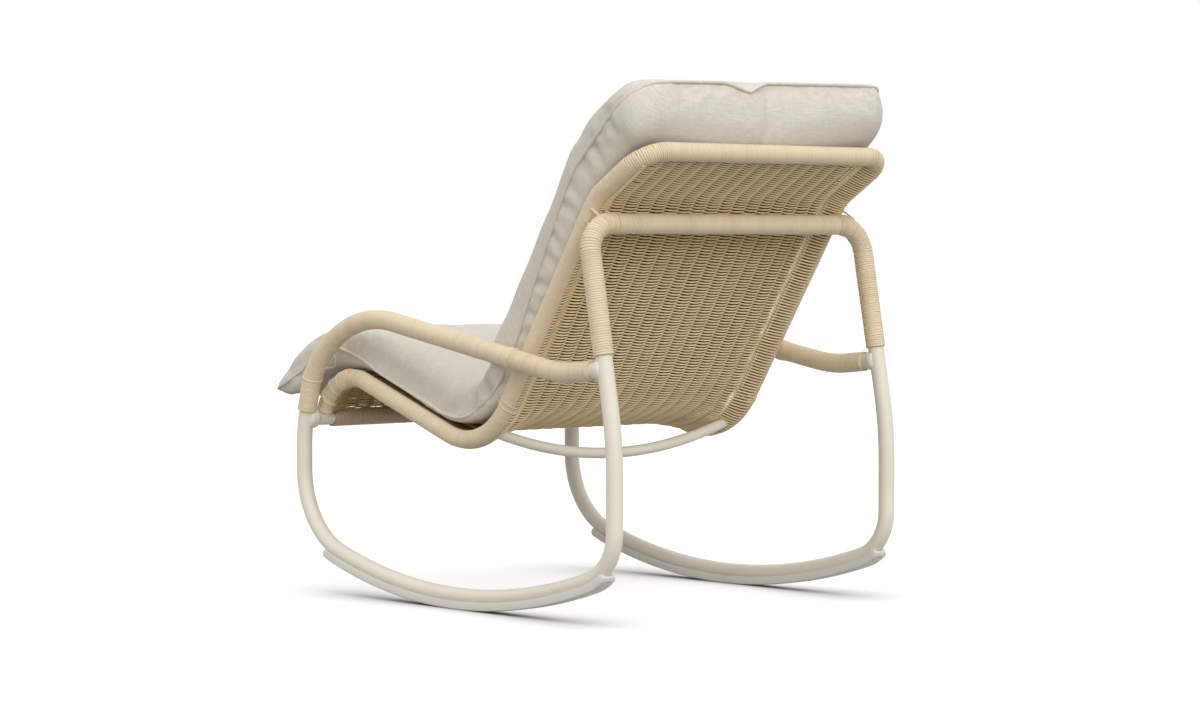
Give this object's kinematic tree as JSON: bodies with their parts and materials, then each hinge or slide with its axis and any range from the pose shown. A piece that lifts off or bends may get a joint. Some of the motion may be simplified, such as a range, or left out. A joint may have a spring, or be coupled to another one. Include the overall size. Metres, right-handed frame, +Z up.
{
  "type": "outdoor rocking chair",
  "caption": "Low rocking lounge chair: bent tube hoops with rocker glides, wicker-wrapped frame with a woven seat and back, and one long tied cushion.",
  "frame": {"origin": "on the floor, at the middle of the chair's footprint", "axes": "+Z up, the chair faces -Y, +X is its left side"},
  "size_m": [0.6846, 1.0142, 0.8848],
  "materials": {
    "ivory_coat": "satin powder coat",
    "wicker": "matt synthetic strand",
    "glide_plastic": "matt moulded",
    "screw_steel": "dull",
    "linen": "slubbed plain weave",
    "trim": "covered cord"
  },
  "bodies": {
    "root": {"hoop_left": "ivory_coat", "hoop_right": "ivory_coat", "cross_rail": "ivory_coat", "front_rail": "ivory_coat", "seat_frame": "ivory_coat", "stretcher": "ivory_coat", "glide_left": "glide_plastic", "glide_right": "glide_plastic", "screw_front_left": "screw_steel", "screw_rear_left": "screw_steel", "screw_front_right": "screw_steel", "screw_rear_right": "screw_steel", "frame_wrap": "wicker", "front_wrap": "wicker", "rail_wrap": "wicker", "arm_wrap_left": "wicker", "arm_wrap_right": "wicker", "leg_wrap_left": "wicker", "leg_wrap_right": "wicker", "arm_ring_left": "wicker", "arm_ring_right": "wicker", "lash_arm_left": "wicker", "lash_arm_right": "wicker", "lash_rail_left": "wicker", "lash_rail_right": "wicker", "woven_panel": "wicker", "cushion": "linen", "piping": "trim", "tie_left": "trim", "tie_right": "trim"}
  },
  "joints": []
}
